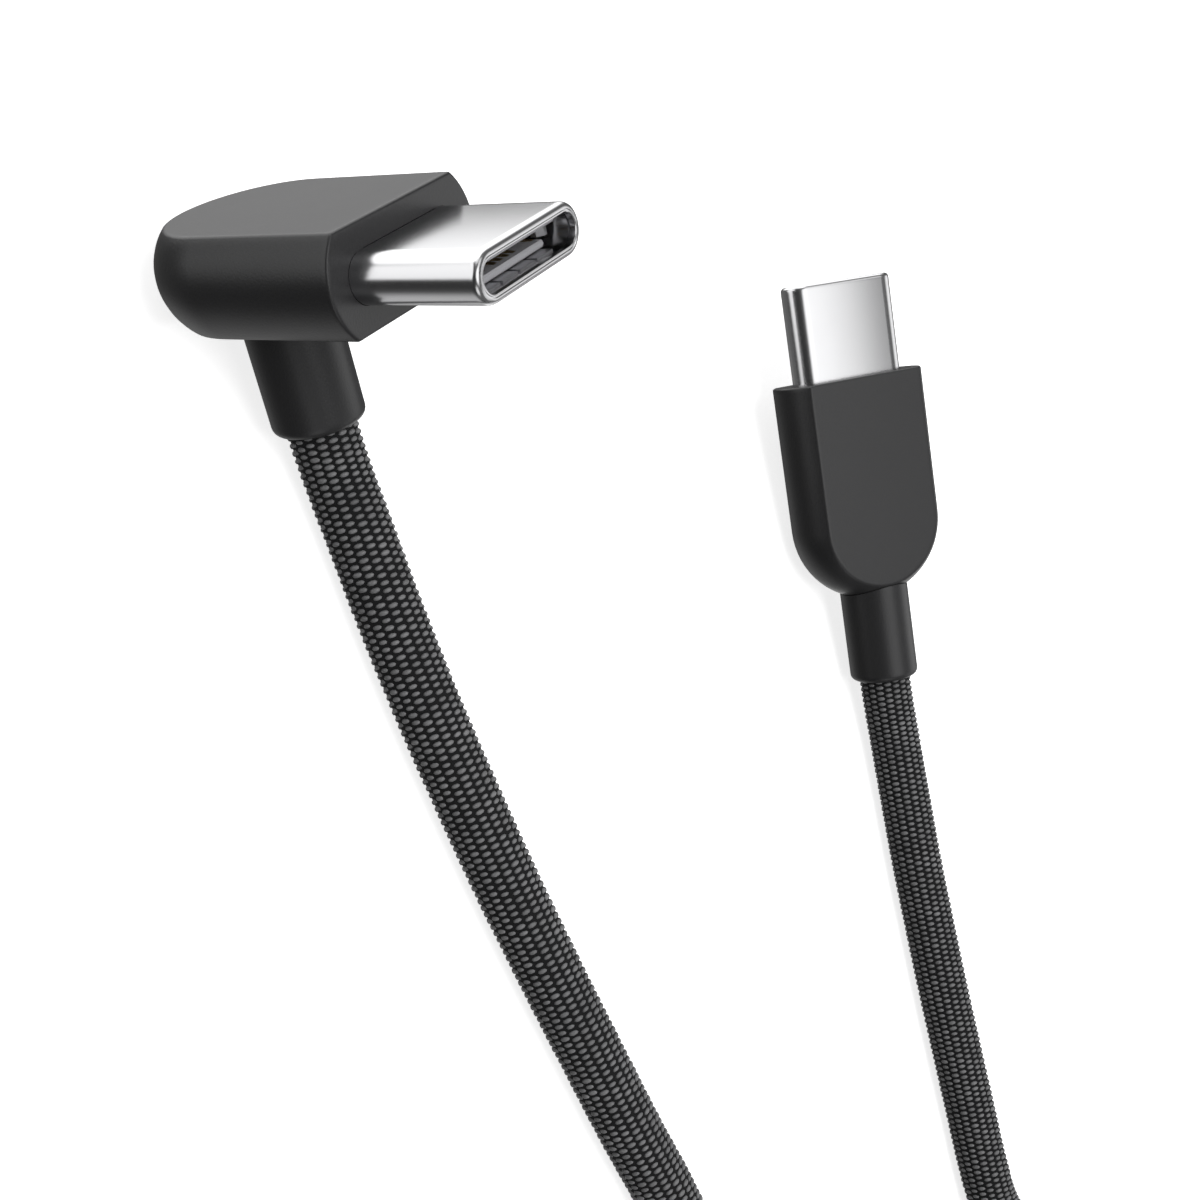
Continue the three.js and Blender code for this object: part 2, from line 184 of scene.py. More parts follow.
def math_node(material, operation, a, b=0.0, clamp=False):
    """One operation on two values or other nodes' outputs."""
    made = material.node_tree.nodes.new("ShaderNodeMath")
    made.operation = operation
    made.use_clamp = clamp
    for socket, value in zip(made.inputs, (a, b)):
        if isinstance(value, bpy.types.NodeSocket):
            material.node_tree.links.new(value, socket)
        else:
            socket.default_value = value
    return made.outputs[0]


def blend_colors(material, factor, dark, light):
    """A colour between two, by the factor."""
    ramp = node(material, "ShaderNodeValToRGB", Fac=factor)
    ramp.color_ramp.elements[0].color = (*dark, 1)
    ramp.color_ramp.elements[1].color = (*light, 1)
    return ramp.outputs["Color"]


def remap(material, value, low, high):
    """0 to 1 taken to low to high."""
    made = node(material, "ShaderNodeMapRange", Value=value)
    made.inputs["To Min"].default_value = low
    made.inputs["To Max"].default_value = high
    return made.outputs["Result"]


def object_noise(material, scale, detail=3.0):
    """Noise over the object's own coordinates. A scale of 1000 has one blotch in a millimetre."""
    coordinates = node(material, "ShaderNodeTexCoord")
    place = coordinates.outputs["Object"]
    return node(material, "ShaderNodeTexNoise", Vector=place, Scale=scale, Detail=detail).outputs["Fac"]


def bump(material, shader, height, depth):
    """Raises the surface by the height, where 1 is this many millimetres."""
    made = node(material, "ShaderNodeBump", Height=height, Distance=depth * MM)
    link(material, made.outputs["Normal"], shader, "Normal")


def link(material, output, shader, name):
    """Feeds a node's output to one of the shader's inputs."""
    material.node_tree.links.new(output, shader.inputs[name])


def add_mesh(name, points, faces, material, place=None, crease=35):
    """A welded mesh with outward faces, its place in its vertices."""
    shape = bmesh.new()
    at = place or Matrix.Diagonal((MM, MM, MM, 1))
    corners = [shape.verts.new(at @ Vector(p)) for p in points]
    for face in faces:
        if len(set(face)) > 2:
            shape.faces.new([corners[i] for i in face])
    bmesh.ops.remove_doubles(shape, verts=shape.verts, dist=0.002 * MM)
    bmesh.ops.recalc_face_normals(shape, faces=shape.faces)
    mesh = bpy.data.meshes.new(name)
    shape.to_mesh(mesh)
    shape.free()
    mesh.materials.append(material)
    soften(mesh, crease)
    piece = bpy.data.objects.new(name, mesh)
    bpy.context.scene.collection.objects.link(piece)
    return piece


def soften(mesh, crease):
    """Smooth shading, with sharp edges past the crease angle."""
    mesh.shade_smooth()
    mesh.set_sharp_from_angle(angle=math.radians(crease))


def bridge(rings, first=0, closed=True):
    """The points of a row of rings, and the faces between them, numbered from the first."""
    count = len(rings[0])
    points = [p for ring in rings for p in ring]
    faces = []
    for row in range(len(rings) - 1):
        for i in range(count if closed else count - 1):
            a, b = row * count + i, row * count + (i + 1) % count
            faces.append([first + a, first + b, first + b + count, first + a + count])
    return points, faces


def combine(piece, other, operation, crease=35):
    """Cuts the piece with the other, or joins them, and drops the other."""
    tool = piece.modifiers.new("combine", "BOOLEAN")
    tool.operation = operation
    tool.solver = "EXACT"
    tool.object = other
    bpy.context.view_layer.update()
    mesh = bpy.data.meshes.new_from_object(piece.evaluated_get(bpy.context.evaluated_depsgraph_get()))
    piece.modifiers.remove(tool)
    old, piece.data = piece.data, mesh
    bpy.data.meshes.remove(old)
    soften(mesh, crease)
    bpy.data.objects.remove(other)


def plug_place(place, axes):
    """The matrix from a plug's own millimetres to the cable's metres."""
    at, *angles = place
    heading, dip, roll = (math.radians(a) for a in angles)
    turn = Matrix.Rotation(heading, 4, "Z") @ Matrix.Rotation(dip, 4, "Y") @ Matrix.Rotation(roll, 4, "X")
    return Matrix.Diagonal((MM, MM, MM, 1)) @ Matrix.Translation(at) @ turn @ axes


def keep(piece, slot, *nodes):
    """The piece rides on the cable and stands for these solids."""
    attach(piece, BODY)
    if nodes:
        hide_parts(*nodes)


# ---- Finishes ----
def satin_plastic(name, color, roughness):
    """Moulded plastic with a fine even grain."""
    material, shader = finish(name, color, roughness)
    grain = object_noise(material, 9000, 2)
    cloud = object_noise(material, 160, 2)
    link(material, remap(material, cloud, roughness - 0.04, roughness + 0.05), shader, "Roughness")
    bump(material, shader, grain, 0.006)
    return material


def drawn_metal(name, color, roughness):
    """Bright sheet metal, faintly clouded by handling."""
    material, shader = finish(name, color, roughness, 1.0)
    cloud = object_noise(material, 350, 3)
    link(material, remap(material, cloud, roughness - 0.03, roughness + 0.03), shader, "Roughness")
    bump(material, shader, object_noise(material, 4000, 2), 0.0006)
    return material


def braided_yarn():
    """Grey yarn, darkened from each crest into the hollows between grains and down to a near-black ground:
    painted shade. Where grains are modelled, only that ground of painted shade is left.
    """
    material, shader = finish("braided_yarn", (0.05, 0.05, 0.05), 0.6)
    shader.inputs["Specular IOR Level"].default_value = 0.35
    layout = node(material, "ShaderNodeUVMap", uv_map="along_and_round")
    parts = node(material, "ShaderNodeSeparateXYZ", Vector=layout.outputs["UV"])
    across = math_node(material, "MULTIPLY", parts.outputs["Y"], GRAIN_COLUMNS)
    column = math_node(material, "FLOOR", across)
    stagger = math_node(material, "MULTIPLY", math_node(material, "MODULO", column, 2.0), 0.5)
    along = math_node(material, "DIVIDE", parts.outputs["X"], GRAIN_PITCH)
    along = math_node(material, "ADD", along, stagger)
    distances = []
    for value, half in ((across, 0.52), (along, 0.45)):
        offset = math_node(material, "SUBTRACT", math_node(material, "FRACT", value), 0.5)
        distances.append(math_node(material, "POWER", math_node(material, "DIVIDE", offset, half), 2.0))
    apart = math_node(material, "ADD", *distances)
    height = math_node(material, "SUBTRACT", 1.0, apart, clamp=True)
    woven = node(material, "ShaderNodeAttribute", attribute_name="woven")
    height = math_node(material, "MULTIPLY", height, woven.outputs["Fac"])
    crest = math_node(material, "POWER", height, 0.7)
    # Painted shade: the colour runs from near black in the hollows between grains to grey yarn on the
    # crests.
    color = blend_colors(material, crest, (0.008, 0.008, 0.0085), (0.2, 0.2, 0.204))
    link(material, color, shader, "Base Color")
    link(material, remap(material, crest, 0.85, 0.4), shader, "Roughness")
    bump(material, shader, crest, 0.14)
    return material


def grain_yarn():
    """The modelled grains of the braid: smooth yarn with a soft shine."""
    material, shader = finish("grain_yarn", (0.13, 0.13, 0.132), 0.34)
    shader.inputs["Specular IOR Level"].default_value = 0.35
    cloud = object_noise(material, 700, 2)
    color = blend_colors(material, cloud, (0.08, 0.08, 0.082), (0.26, 0.26, 0.265))
    link(material, color, shader, "Base Color")
    bump(material, shader, object_noise(material, 12000, 2), 0.02)
    return material


def hook_and_loop():
    """Black brushed strap."""
    material, shader = finish("hook_and_loop", (0.012, 0.012, 0.013), 0.9)
    fuzz = object_noise(material, 2600, 4)
    color = blend_colors(material, fuzz, (0.006, 0.006, 0.007), (0.03, 0.03, 0.032))
    link(material, color, shader, "Base Color")
    bump(material, shader, fuzz, 0.2)
    return material


BLACK_PLASTIC = satin_plastic("black_plastic", (0.024, 0.024, 0.025), 0.34)
SHELL_STEEL = drawn_metal("shell_steel", (0.72, 0.72, 0.73), 0.2)
SPRING_STEEL = drawn_metal("spring_steel", (0.66, 0.66, 0.68), 0.42)
CAN_STEEL = drawn_metal("can_steel", (0.62, 0.62, 0.64), 0.38)
# The contacts' gold is darkened to about half as painted shade, because they lie deep in the slot.
CONTACT_GOLD_IN_PAINTED_SHADE = drawn_metal("contact_gold", (0.5, 0.38, 0.2), 0.4)
CARRIER_GREY = satin_plastic("carrier_grey", (0.34, 0.34, 0.355), 0.35)
MOULD_NATURAL = satin_plastic("mould_natural", (0.62, 0.6, 0.54), 0.55)
BOARD_GREEN = satin_plastic("board_green", (0.02, 0.13, 0.06), 0.4)
CORE_GREY = satin_plastic("core_grey", (0.2, 0.2, 0.21), 0.6)
WIRE_FINISHES = {
    "red": satin_plastic("wire_red", (0.45, 0.02, 0.015), 0.5),
    "black": satin_plastic("wire_black", (0.012, 0.012, 0.012), 0.5),
    "white": satin_plastic("wire_white", (0.78, 0.78, 0.74), 0.5),
    "green": satin_plastic("wire_green", (0.03, 0.27, 0.08), 0.5),
    "blue": satin_plastic("wire_blue", (0.03, 0.12, 0.45), 0.5),
}
YARN = braided_yarn()
GRAIN = grain_yarn()
STRAP = hook_and_loop()


# ---- Camera ----
CAMERA_PLACE = (16.49, -64.8, 62.2)
CAMERA_RIGHT = (0.1008, 0.6905, 0.7163)
CAMERA_BACK = (0.0962, -0.7233, 0.6838)


def set_camera():
    """A camera rolled by about a quarter turn, looking down at the two plugs."""
    lens = bpy.data.cameras.new("camera")
    lens.lens = 45
    lens.sensor_width = 36
    lens.clip_start = 0.001
    lens.clip_end = 20
    camera = bpy.data.objects.new("camera", lens)
    right = Vector(CAMERA_RIGHT).normalized()
    back = Vector(CAMERA_BACK).normalized()
    up = back.cross(right).normalized()
    turn = Matrix((right, up, back)).transposed().to_4x4()
    camera.matrix_world = Matrix.Translation(Vector(CAMERA_PLACE) * MM) @ turn
    bpy.context.scene.collection.objects.link(camera)
    bpy.context.scene.camera = camera


# ---- Cord ----
def smooth_path(points, step):
    """Points along a smooth curve through the given ones, about a step apart."""
    made = []
    padded = [2 * points[0] - points[1], *points, 2 * points[-1] - points[-2]]
    for a, b, c, d in zip(padded, padded[1:], padded[2:], padded[3:]):
        parts = max(1, math.ceil((c - b).length / step))
        for i in range(parts):
            t = i / parts
            bend = 2 * a - 5 * b + 4 * c - d
            made.append(0.5 * (2 * b + (c - a) * t + bend * t * t + (3 * b - a - 3 * c + d) * t**3))
    return [*made, points[-1]]


def path_length(points):
    """The length of the line through the points."""
    return sum((b - a).length for a, b in zip(points, points[1:]))


def stretch(path, start, end):
    """The points of a path between two distances along it."""
    run, made = 0.0, []
    for i, point in enumerate(path):
        run += (point - path[i - 1]).length if i else 0
        if start <= run <= end:
            made.append(point)
    return made


def ease(t):
    """A smooth step from 0 to 1."""
    t = min(1.0, max(0.0, t))
    return t * t * (3 - 2 * t)


def coil_turns():
    """Two flat layers: a spiral in, a climb, and a spiral out over it. The turns rise over the strap."""
    middle = (COIL_ENTRY + COIL_EXIT) / 2
    steps = round((COIL_EXIT - COIL_ENTRY) / math.radians(6))
    made = []
    for i in range(steps + 1):
        angle = COIL_ENTRY + (COIL_EXIT - COIL_ENTRY) * i / steps
        radius = COIL_OUTER - COIL_PITCH * (middle - COIL_ENTRY - abs(angle - middle)) / (2 * math.pi)
        x, y = COIL_CENTRE[0] + radius * math.cos(angle), COIL_CENTRE[1] + radius * math.sin(angle)
        climb = ease((angle - middle) / COIL_CLIMB + 0.5)
        near = ease((LIFT_START - abs(y - COIL_CENTRE[1])) / (LIFT_START - LIFT_FULL))
        lift = TIE_LIFT * near if x > COIL_CENTRE[0] else 0
        made.append(Vector((x, y, LOW_LAYER + (HIGH_LAYER - LOW_LAYER) * climb + lift)))
    return made


def round_frames(path):
    """A side and an up direction at each point, without twist."""
    frames = []
    side = Vector((0, 0, 1))
    for i in range(len(path)):
        tangent = (path[min(i + 1, len(path) - 1)] - path[max(i - 1, 0)]).normalized()
        side = (side - tangent * side.dot(tangent)).normalized()
        frames.append((side, tangent.cross(side)))
    return frames


def make_cord(path, bare):
    """One tube along the whole path. Its surface is lower on the bare lengths, where yarn is added."""
    sides = CORD_SIDES
    rings, distances, covers = [], [], []
    total, run = path_length(path), 0.0
    for i, (point, (side, up)) in enumerate(zip(path, round_frames(path))):
        run += (point - path[i - 1]).length if i else 0
        cover = max(ease((bare[0] - run) / BARE_FADE), ease((run - total + bare[1]) / BARE_FADE))
        distances.append(run)
        covers.append(cover)
        radius = CORD_DIAMETER / 2 - BARE_DROP * cover
        ring = []
        for k in range(sides):
            angle = 2 * math.pi * k / sides
            ring.append(point + (side * math.cos(angle) + up * math.sin(angle)) * radius)
        rings.append(ring)
    points, faces = bridge(rings)
    faces += [list(range(sides))[::-1], list(range(len(points) - sides, len(points)))]
    mesh = bpy.data.meshes.new("cord")
    mesh.from_pydata([p * MM for p in points], [], faces)
    layout = mesh.uv_layers.new(name="along_and_round")
    woven = mesh.attributes.new("woven", "FLOAT", "POINT")
    for row, cover in enumerate(covers):
        for k in range(sides):
            woven.data[row * sides + k].value = 1 - cover
    for polygon in mesh.polygons:
        rows = [mesh.loops[i].vertex_index // sides for i in polygon.loop_indices]
        turns = [mesh.loops[i].vertex_index % sides for i in polygon.loop_indices]
        seam = len(polygon.vertices) == 4 and max(turns) == sides - 1 and min(turns) == 0
        for i, row, turn in zip(polygon.loop_indices, rows, turns):
            around = sides if seam and turn == 0 else turn
            layout.data[i].uv = (distances[row], around / sides)
    mesh.materials.append(YARN)
    shape = bmesh.new()
    shape.from_mesh(mesh)
    bmesh.ops.recalc_face_normals(shape, faces=shape.faces)
    shape.to_mesh(mesh)
    shape.free()
    mesh.shade_smooth()
    piece = bpy.data.objects.new("braided_cord", mesh)
    bpy.context.scene.collection.objects.link(piece)
    return piece


def braid_tree():
    """Grains of yarn in staggered columns round a line."""
    tree = bpy.data.node_groups.new("braid", "GeometryNodeTree")
    socket = tree.interface.new_socket
    socket("Geometry", in_out="INPUT", socket_type="NodeSocketGeometry")
    for name, kind in (
        ("Ground radius", "Float"),
        ("Pitch", "Float"),
        ("Columns", "Int"),
        ("Grain along", "Float"),
        ("Grain across", "Float"),
        ("Grain height", "Float"),
        ("Seed", "Int"),
        ("Yarn", "Material"),
    ):
        socket(name, in_out="INPUT", socket_type=f"NodeSocket{kind}")
    socket("Geometry", in_out="OUTPUT", socket_type="NodeSocketGeometry")
    nodes, links = tree.nodes, tree.links
    given = nodes.new("NodeGroupInput").outputs
    line = nodes.new("GeometryNodeMeshToCurve")
    links.new(given["Geometry"], line.inputs["Mesh"])
    even = nodes.new("GeometryNodeResampleCurve")
    even.mode = "LENGTH"
    links.new(line.outputs["Curve"], even.inputs["Curve"])
    links.new(given["Pitch"], even.inputs["Length"])
    heading = nodes.new("GeometryNodeCaptureAttribute")
    heading.capture_items.new("VECTOR", "Tangent")
    tangent = nodes.new("GeometryNodeInputTangent")
    links.new(even.outputs["Curve"], heading.inputs["Geometry"])
    links.new(tangent.outputs["Tangent"], heading.inputs["Tangent"])
    circle = nodes.new("GeometryNodeCurvePrimitiveCircle")
    links.new(given["Columns"], circle.inputs["Resolution"])
    links.new(given["Ground radius"], circle.inputs["Radius"])
    ground = nodes.new("GeometryNodeCurveToMesh")
    links.new(heading.outputs["Geometry"], ground.inputs["Curve"])
    links.new(circle.outputs["Curve"], ground.inputs["Profile Curve"])

    def calculate(operation, a, b):
        """One operation on two values or other nodes' outputs."""
        made = nodes.new("ShaderNodeMath")
        made.operation = operation
        for place, value in zip(made.inputs, (a, b)):
            if isinstance(value, bpy.types.NodeSocket):
                links.new(value, place)
            else:
                place.default_value = value
        return made.outputs[0]

    index = nodes.new("GeometryNodeInputIndex").outputs["Index"]
    column = calculate("MODULO", index, given["Columns"])
    half_pitch = calculate("MULTIPLY", given["Pitch"], 0.5)
    shift = calculate("MULTIPLY", calculate("MODULO", column, 2.0), half_pitch)
    along = nodes.new("ShaderNodeVectorMath")
    along.operation = "SCALE"
    links.new(heading.outputs["Tangent"], along.inputs[0])
    links.new(shift, along.inputs["Scale"])
    staggered = nodes.new("GeometryNodeSetPosition")
    links.new(ground.outputs["Mesh"], staggered.inputs["Geometry"])
    links.new(along.outputs["Vector"], staggered.inputs["Offset"])
    outward = nodes.new("GeometryNodeInputNormal")
    facing = nodes.new("FunctionNodeAxesToRotation")
    facing.primary_axis = "Z"
    facing.secondary_axis = "X"
    links.new(outward.outputs["Normal"], facing.inputs["Primary Axis"])
    links.new(heading.outputs["Tangent"], facing.inputs["Secondary Axis"])
    varied = nodes.new("FunctionNodeRandomValue")
    varied.data_type = "FLOAT"
    varied.inputs[2].default_value = GRAIN_LEAST
    varied.inputs[3].default_value = GRAIN_MOST
    links.new(given["Seed"], varied.inputs["Seed"])
    size = nodes.new("ShaderNodeCombineXYZ")
    for axis, name in zip("XYZ", ("Grain along", "Grain across", "Grain height")):
        links.new(calculate("MULTIPLY", given[name], varied.outputs[1]), size.inputs[axis])
    grain = nodes.new("GeometryNodeMeshUVSphere")
    grain.inputs["Radius"].default_value = 1
    grain.inputs["Segments"].default_value = 8
    grain.inputs["Rings"].default_value = 4
    grains = nodes.new("GeometryNodeInstanceOnPoints")
    links.new(staggered.outputs["Geometry"], grains.inputs["Points"])
    links.new(grain.outputs["Mesh"], grains.inputs["Instance"])
    links.new(facing.outputs["Rotation"], grains.inputs["Rotation"])
    links.new(size.outputs["Vector"], grains.inputs["Scale"])
    real = nodes.new("GeometryNodeRealizeInstances")
    links.new(grains.outputs["Instances"], real.inputs["Geometry"])
    smooth = nodes.new("GeometryNodeSetShadeSmooth")
    links.new(real.outputs["Geometry"], smooth.inputs["Geometry"])
    colored = nodes.new("GeometryNodeSetMaterial")
    links.new(smooth.outputs["Geometry"], colored.inputs["Geometry"])
    links.new(given["Yarn"], colored.inputs["Material"])
    links.new(colored.outputs["Geometry"], nodes.new("NodeGroupOutput").inputs["Geometry"])
    return tree


def make_braid(name, path, tree):
    """The grains of yarn over one loose stretch, as a plain mesh."""
    line = bpy.data.meshes.new(name)
    line.from_pydata([p * MM for p in path], [(i, i + 1) for i in range(len(path) - 1)], [])
    source = bpy.data.objects.new(f"{name}_line", line)
    bpy.context.scene.collection.objects.link(source)
    modifier = source.modifiers.new("braid", "NODES")
    modifier.node_group = tree
    sizes = {
        "Ground radius": (CORD_DIAMETER / 2 - GRAIN_DEPTH) * MM,
        "Pitch": GRAIN_PITCH * MM,
        "Columns": GRAIN_COLUMNS,
        "Grain along": GRAIN_ALONG * MM,
        "Grain across": GRAIN_ACROSS * MM,
        "Grain height": GRAIN_HEIGHT * MM,
        "Seed": GRAIN_SEED,
        "Yarn": GRAIN,
    }
    for item in tree.interface.items_tree:
        if item.in_out == "INPUT" and item.name in sizes:
            modifier[item.identifier] = sizes[item.name]
    bpy.context.view_layer.update()
    mesh = bpy.data.meshes.new_from_object(source.evaluated_get(bpy.context.evaluated_depsgraph_get()))
    mesh.name = name
    source.modifiers.remove(modifier)
    bpy.data.objects.remove(source)
    piece = bpy.data.objects.new(name, mesh)
    bpy.context.scene.collection.objects.link(piece)
    return piece


def make_tie():
    """A strap once round the bundle, with its free end lapped over the top."""
    x0 = COIL_CENTRE[0] + TIE_INNER
    x1 = COIL_CENTRE[0] + COIL_OUTER + CORD_DIAMETER / 2 + TIE_SLACK
    low, high = TIE_BOTTOM, HIGH_LAYER + CORD_DIAMETER / 2 + TIE_LIFT + TIE_CLEARANCE
    corner = TIE_CORNER
    corners = [(x1, high, 0), (x0, high, 90), (x0, low, 180), (x1, low, 270)]
    line = []
    for x, z, start in corners:
        cx = x - corner if x == x1 else x + corner
        cz = z - corner if z == high else z + corner
        for i in range(7):
            angle = math.radians(start + 90 * i / 6)
            line.append((cx + corner * math.cos(angle), cz + corner * math.sin(angle)))
    half, thick, edge = TIE_WIDTH / 2, TIE_THICKNESS / 2, TIE_EDGE
    section = [
        (-thick, -half + edge),
        (-thick + edge, -half),
        (thick - edge, -half),
        (thick, -half + edge),
        (thick, half - edge),
        (thick - edge, half),
        (-thick + edge, half),
        (-thick, half - edge),
    ]
    rings = []
    for i, (x, z) in enumerate(line):
        before, after = Vector(line[i - 1]), Vector(line[(i + 1) % len(line)])
        tangent = (after - before).normalized()
        out = Vector((tangent.y, -tangent.x))
        rings.append([(x + out.x * d, COIL_CENTRE[1] + w, z + out.y * d) for d, w in section])
    points, faces = bridge([*rings, rings[0]])
    strap = add_mesh("tie_strap", points, faces, STRAP, crease=50)
    lap_line = (
        (x0 + 2.2, 0.42),
        (x0 + 2.6, 0.8),
        (x0 + 8, 0.82),
        (x1 - 5, 0.84),
        (x1 - 3.4, 0.84),
        (x1 - 3, 0.5),
    )
    lap = []
    for x, rise in lap_line:
        y, z = COIL_CENTRE[1], high + rise
        lap.append([(x, y + w * LAP_WIDTH, z + d * LAP_THICKNESS) for d, w in section])
    points, faces = bridge(lap)
    faces += [list(range(8))[::-1], list(range(len(points) - 8, len(points)))]
    tab = add_mesh("tie_lapped_end", points, faces, STRAP, crease=50)
    return strap, tab


# ---- Housings ----
def half_section(height, flat_half, bulge, fillet):
    """Points and outward directions of the housing's side, from the bottom centre to the top centre."""
    radius = (height**2 + bulge**2) / (2 * bulge)
    centre = flat_half + bulge - radius
    corner = centre + math.sqrt((radius - fillet) ** 2 - (height - fillet) ** 2)
    meet = math.atan2(height - fillet, corner - centre)
    lower = [(x, -height, 0, -1) for x in (0, 0.3 * corner, 0.6 * corner, 0.85 * corner, corner - 0.12)]
    for i in range(7):
        angle = -math.pi / 2 + (math.pi / 2 - meet) * i / 6
        c, s = math.cos(angle), math.sin(angle)
        lower.append((corner + fillet * c, fillet - height + fillet * s, c, s))
    for i in range(1, 9):
        angle = -meet * (1 - i / 9)
        c, s = math.cos(angle), math.sin(angle)
        lower.append((centre + radius * c, radius * s, c, s))
    return lower + [(centre + radius, 0, 1, 0)] + [(x, -y, a, -b) for x, y, a, b in reversed(lower)]


def whole_section(half):
    """The right half, then the left half back down to the start."""
    return half + [(-x, y, -a, b) for x, y, a, b in reversed(half)][1:-1]


def section_ring(section, z, inset=0.0):
    """The section at a height, drawn in by the inset."""
    return [(x - inset * a, y - inset * b, z) for x, y, a, b in section]


def slot_ring(section, width, height, z):
    """Each point of the section moved to the slot-shaped outline of the shell's opening."""
    ring = []
    middle, radius = (width - height) / 2, height / 2
    for x, y, _, _ in section:
        if abs(x) <= middle:
            ring.append((x, math.copysign(radius, y), z))
            continue
        centre = math.copysign(middle, x)
        away = Vector((x - centre, y)).normalized() * radius
        ring.append((centre + away.x, away.y, z))
    return ring


def round_end(half, length):
    """The half section swung half a turn about the end's centre line."""
    rows = []
    for i in range(33):
        angle = math.pi * i / 32
        rows.append([(x * math.cos(angle), y, -length - x * math.sin(angle)) for x, y, _, _ in half])
    return rows


def housing_points(length, grow=0.0, hollow=True):
    """The housing's skin. Grown and solid, it is what the strain relief is seated on."""
    outer = half_section(THICKNESS / 2 + grow, FLAT_HALF + grow, BULGE, EDGE_ROUND)
    inner = half_section(ROOM_HALF_HEIGHT, ROOM_FLAT_HALF, ROOM_BULGE, ROOM_ROUND)
    section, room = whole_section(outer), whole_section(inner)
    spread = [-ROOM_STEP, -0.3 * length, -0.6 * length, -length]
    rings = []
    if hollow:
        rings += [section_ring(room, z) for z in reversed(spread)]
        rings += [section_ring(room, -FRONT_WALL)]
        width, height = SHELL_WIDTH + SHELL_GAP, SHELL_HEIGHT + SHELL_GAP
        rings += [slot_ring(section, width, height, z) for z in (-FRONT_WALL, 0)]
    else:
        rings += [slot_ring(section, 3, 0.5, grow)]
    rings.append(section_ring(section, grow, FRONT_ROUND + 0.1))
    for i in range(6):
        angle = math.radians(90 - 18 * i)
        depth, inset = FRONT_ROUND * (1 - math.sin(angle)), FRONT_ROUND * (1 - math.cos(angle))
        rings.append(section_ring(section, grow - depth, inset))
    rings += [section_ring(section, z) for z in (-FRONT_ROUND - 0.2, *spread[1:])]
    points, faces = bridge(rings)
    if not hollow:
        faces.append(list(range(len(section))))
    for half in (outer, inner)[: 2 if hollow else 1]:
        more, sides = bridge(round_end(half, length), first=len(points), closed=False)
        points, faces = points + more, faces + sides
    return points, faces


def rod_mesh(radius, start, end, direction, centre):
    """A plain rod to drill with, along y or z."""
    rings = []
    for s in (start, end):
        ring = []
        for i in range(48):
            angle = 2 * math.pi * i / 48
            a, b = radius * math.cos(angle), radius * math.sin(angle)
            x, y, z = centre
            ring.append((x + a, y + s, z + b) if direction == "y" else (x + a, y + b, z + s))
        rings.append(ring)
    points, faces = bridge(rings)
    return points, [*faces, list(range(48)), list(range(48, 96))]


def make_sleeve(name, length, place, exit_place, seat_points):
    """The strain relief: a round sleeve, seated on the housing, with a rounded end."""
    rim, bore = SLEEVE_RIM, CORD_DIAMETER / 2 + SLEEVE_BORE_GAP
    outline = [(bore, -SLEEVE_DEPTH)]
    outline += [(SLEEVE_RADIUS, s) for s in (-SLEEVE_DEPTH, 1.0, length * 0.6, length - rim - 0.15)]
    for i in range(7):
        angle = math.radians(15 * i)
        outline.append((SLEEVE_RADIUS - rim + rim * math.cos(angle), length - rim + rim * math.sin(angle)))
    outline += [(bore + 0.04, length), (bore, length - 0.06), (bore, length / 2)]
    rings = []
    for i in range(64):
        angle = 2 * math.pi * i / 64
        c, s = math.cos(angle), math.sin(angle)
        rings.append([exit_place @ Vector((r * c, r * s, depth)) for r, depth in outline])
    points, faces = bridge([*rings, rings[0]])
    sleeve = add_mesh(name, points, faces, BLACK_PLASTIC, place)
    combine(sleeve, add_mesh("seat", *seat_points, BLACK_PLASTIC, place), "DIFFERENCE")
    return sleeve


def make_shell(name, place):
    """A drawn tube with a rolled lip at its mouth."""
    middle, radius = (SHELL_WIDTH - SHELL_HEIGHT) / 2, SHELL_HEIGHT / 2
    outline = []
    for centre, start in ((middle, -90), (-middle, 90)):
        for i in range(21):
            angle = math.radians(start + 9 * i)
            outline.append((centre, math.cos(angle), math.sin(angle)))
    roll = SHELL_ROLL
    wall = [(0, SHELL_BACK), (0, -0.5), (0, 3), (0, SHELL_FRONT - roll - 0.1)]
    for i in range(7):
        angle = math.radians(15 * i)
        wall.append((roll * math.cos(angle) - roll, SHELL_FRONT - roll + roll * math.sin(angle)))
    for inward, below in LIP:
        wall.append((-inward, SHELL_FRONT - below))
    wall += [(-SHELL_WALL, 2), (-SHELL_WALL, SHELL_BACK)]
    rings = []
    for centre, c, s in outline:
        rings.append([(centre + (radius + d) * c, (radius + d) * s, z) for d, z in wall])
    points, faces = bridge([*rings, rings[0]])
    return add_mesh(name, points, faces, SHELL_STEEL, place, crease=30)


def soft_block(xs, ys, zs):
    """A block with its long edges and its front edges taken off."""
    (x0, x1), (y0, y1), (z0, z1) = xs, ys, zs
    edge = CARRIER_LIP_EDGE
    rings = []
    for z, inset in ((z0, 0.0), (z1 - edge, 0.0), (z1, edge)):
        a, b, c, d = x0 + inset, x1 - inset, y0 + inset, y1 - inset
        ring = [(a + edge, c), (b - edge, c), (b, c + edge), (b, d - edge)]
        ring += [(b - edge, d), (a + edge, d), (a, d - edge), (a, c + edge)]
        rings.append([(x, y, z) for x, y in ring])
    points, faces = bridge(rings)
    return points, [*faces, list(range(8)), list(range(16, 24))]


